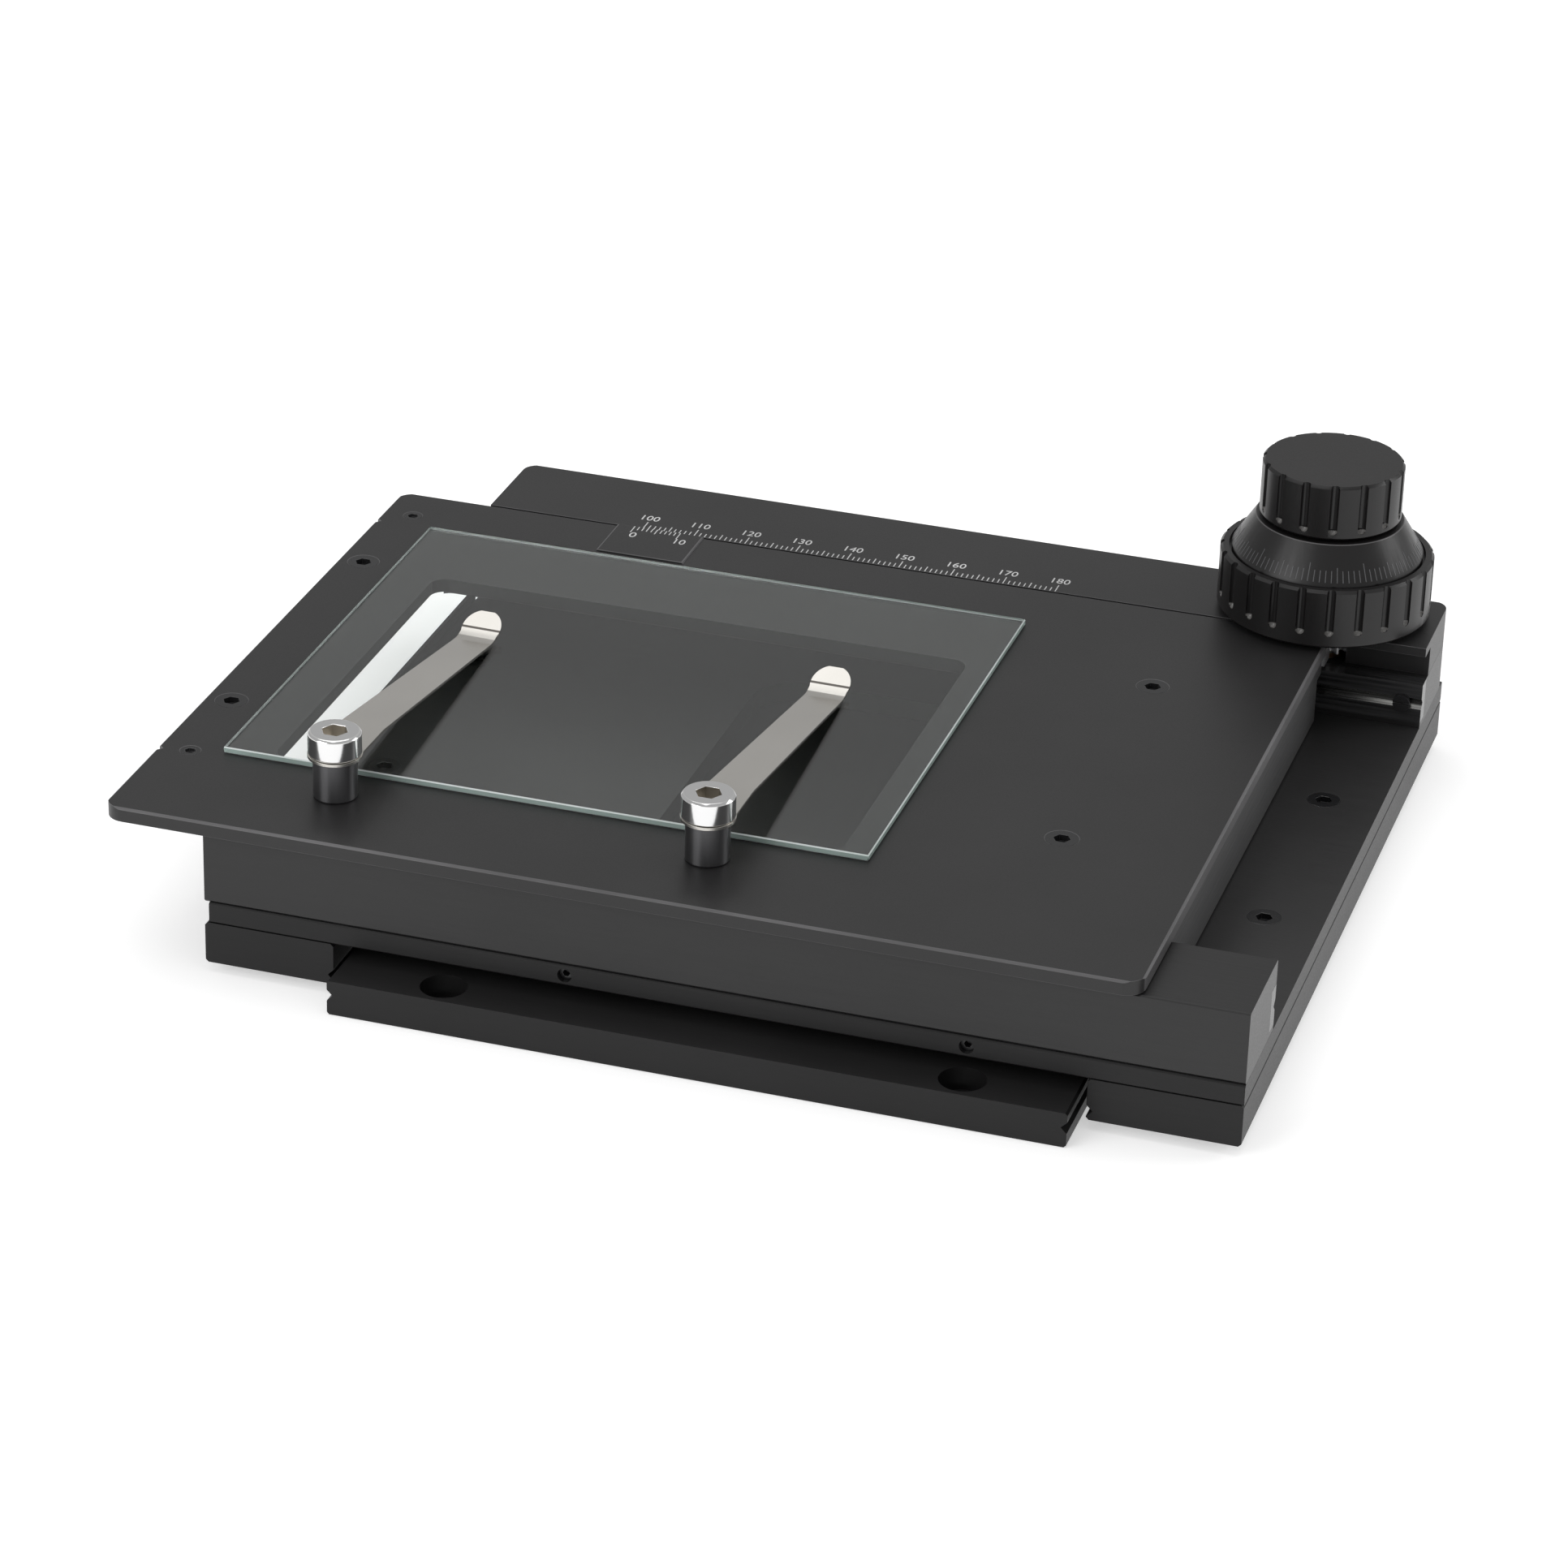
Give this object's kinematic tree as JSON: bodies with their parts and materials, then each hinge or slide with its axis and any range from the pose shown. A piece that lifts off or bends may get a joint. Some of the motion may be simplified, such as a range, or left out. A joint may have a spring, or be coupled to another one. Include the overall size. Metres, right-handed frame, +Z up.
{
  "type": "mechanical microscope stage",
  "caption": "Two-axis mechanical microscope stage: ball-guided slides, rack and pinion drive from coaxial knobs, glass insert, spring clips, scale and vernier.",
  "frame": {"origin": "centre of the four mounting holes in the base plate, on its underside", "axes": "+Z up, out of the stage top; +X to the right along the long left-right travel; +Y to the back, towards the scale and the knobs"},
  "size_m": [0.1976, 0.1756, 0.0589],
  "materials": {
    "black_anodised": "matte black anodised",
    "black_knob": "satin black moulding",
    "post_black": "gloss black",
    "black_screw": "blackened steel",
    "ground_steel": "ground, hardened",
    "spring_steel": "satin spring stainless",
    "chrome": "bright nickel",
    "bearing_ball": "polished",
    "bronze": "turned bronze",
    "slip_plastic": "white slip washer",
    "glass": "clear float glass, greenish edge"
  },
  "bodies": {
    "base": {"base_plate": "black_anodised", "y_rack": "ground_steel", "y_rack_screws": "ground_steel", "y_stop_pin": "ground_steel"},
    "y_carriage": {"carriage_plate": "black_anodised", "channel_end_plate": "black_anodised", "end_plate_screws": "ground_steel", "side_rail_left": "black_anodised", "side_rail_right": "black_anodised", "rail_screws": "black_screw", "edge_grub_screws": "ground_steel", "front_bar": "black_anodised", "front_guide_strip": "ground_steel", "front_bar_screws": "ground_steel", "rear_riser": "black_anodised", "rear_guide_strip": "ground_steel", "scale_block": "black_anodised", "rear_block_screws": "ground_steel", "strip_end_screws": "ground_steel", "upper_bush": "bronze", "sleeve_bush": "bronze", "shaft_bush": "bronze", "thrust_washer": "slip_plastic"},
    "x_carriage": {"slide_frame": "black_anodised", "slide_strip_front": "ground_steel", "slide_strip_rear": "ground_steel", "x_stop_pin": "ground_steel", "x_rack": "ground_steel", "x_rack_screws": "ground_steel", "top_plate": "black_anodised", "plate_screws": "black_screw", "corner_screws": "black_screw", "vernier_plate": "black_anodised", "glass_plate": "glass", "clip_post_left": "post_black", "clip_post_right": "post_black", "clip_screw_left": "chrome", "clip_screw_right": "chrome"},
    "clip_left": {"clip_blade_left": "spring_steel"},
    "clip_right": {"clip_blade_right": "spring_steel"},
    "x_drive": {"x_knob_ring": "black_knob", "x_dial_cone": "black_knob", "x_sleeve": "ground_steel", "x_pinion": "bronze", "x_knob_grub": "ground_steel"},
    "y_drive": {"y_knob_cap": "black_knob", "y_shaft": "ground_steel", "y_pinion": "bronze", "y_knob_grub": "ground_steel"},
    "y_ball_train_left": {"y_cage_left": "bronze", "y_balls_left": "bearing_ball"},
    "y_ball_train_right": {"y_cage_right": "bronze", "y_balls_right": "bearing_ball"},
    "x_ball_train_front": {"x_cage_front": "bronze", "x_balls_front": "bearing_ball"},
    "x_ball_train_rear": {"x_cage_rear": "bronze", "x_balls_rear": "bearing_ball"}
  },
  "joints": [
    {"name": "y_slide", "type": "slide", "parent": "base", "child": "y_carriage", "axis": [0, 1, 0], "range_m": [-0.052, 0]},
    {"name": "x_slide", "type": "slide", "parent": "y_carriage", "child": "x_carriage", "axis": [1, 0, 0], "range_m": [0, 0.076]},
    {"name": "clip_left_turn", "type": "hinge", "parent": "x_carriage", "child": "clip_left", "pos_m": [-0.071, -0.0577, 0.037], "axis": [0, 0, 1], "range_deg": [-20, 95]},
    {"name": "clip_right_turn", "type": "hinge", "parent": "x_carriage", "child": "clip_right", "pos_m": [-0.0049, -0.0577, 0.037], "axis": [0, 0, 1], "range_deg": [-95, 20]},
    {"name": "x_knob_turn", "type": "hinge", "parent": "y_carriage", "child": "x_drive", "pos_m": [0.06985, 0.07608, 0.0357], "axis": [0, 0, 1], "range_deg": [0, 622.2]},
    {"name": "y_knob_turn", "type": "hinge", "parent": "y_carriage", "child": "y_drive", "pos_m": [0.06985, 0.07608, 0.0536], "axis": [0, 0, 1], "range_deg": [-473, 0]},
    {"name": "y_cage_left_roll", "type": "slide", "parent": "base", "child": "y_ball_train_left", "axis": [0, 1, 0], "range_m": [-0.026, 0]},
    {"name": "y_cage_right_roll", "type": "slide", "parent": "base", "child": "y_ball_train_right", "axis": [0, 1, 0], "range_m": [-0.026, 0]},
    {"name": "x_cage_front_roll", "type": "slide", "parent": "y_carriage", "child": "x_ball_train_front", "axis": [1, 0, 0], "range_m": [0, 0.038]},
    {"name": "x_cage_rear_roll", "type": "slide", "parent": "y_carriage", "child": "x_ball_train_rear", "axis": [1, 0, 0], "range_m": [0, 0.038]}
  ],
  "couplings": [
    {"joint": "x_knob_turn", "follows": "x_slide", "rad_per_m": 142.86},
    {"joint": "y_knob_turn", "follows": "y_slide", "rad_per_m": 158.73},
    {"joint": "y_cage_left_roll", "follows": "y_slide", "ratio": 0.5},
    {"joint": "y_cage_right_roll", "follows": "y_slide", "ratio": 0.5},
    {"joint": "x_cage_front_roll", "follows": "x_slide", "ratio": 0.5},
    {"joint": "x_cage_rear_roll", "follows": "x_slide", "ratio": 0.5}
  ]
}
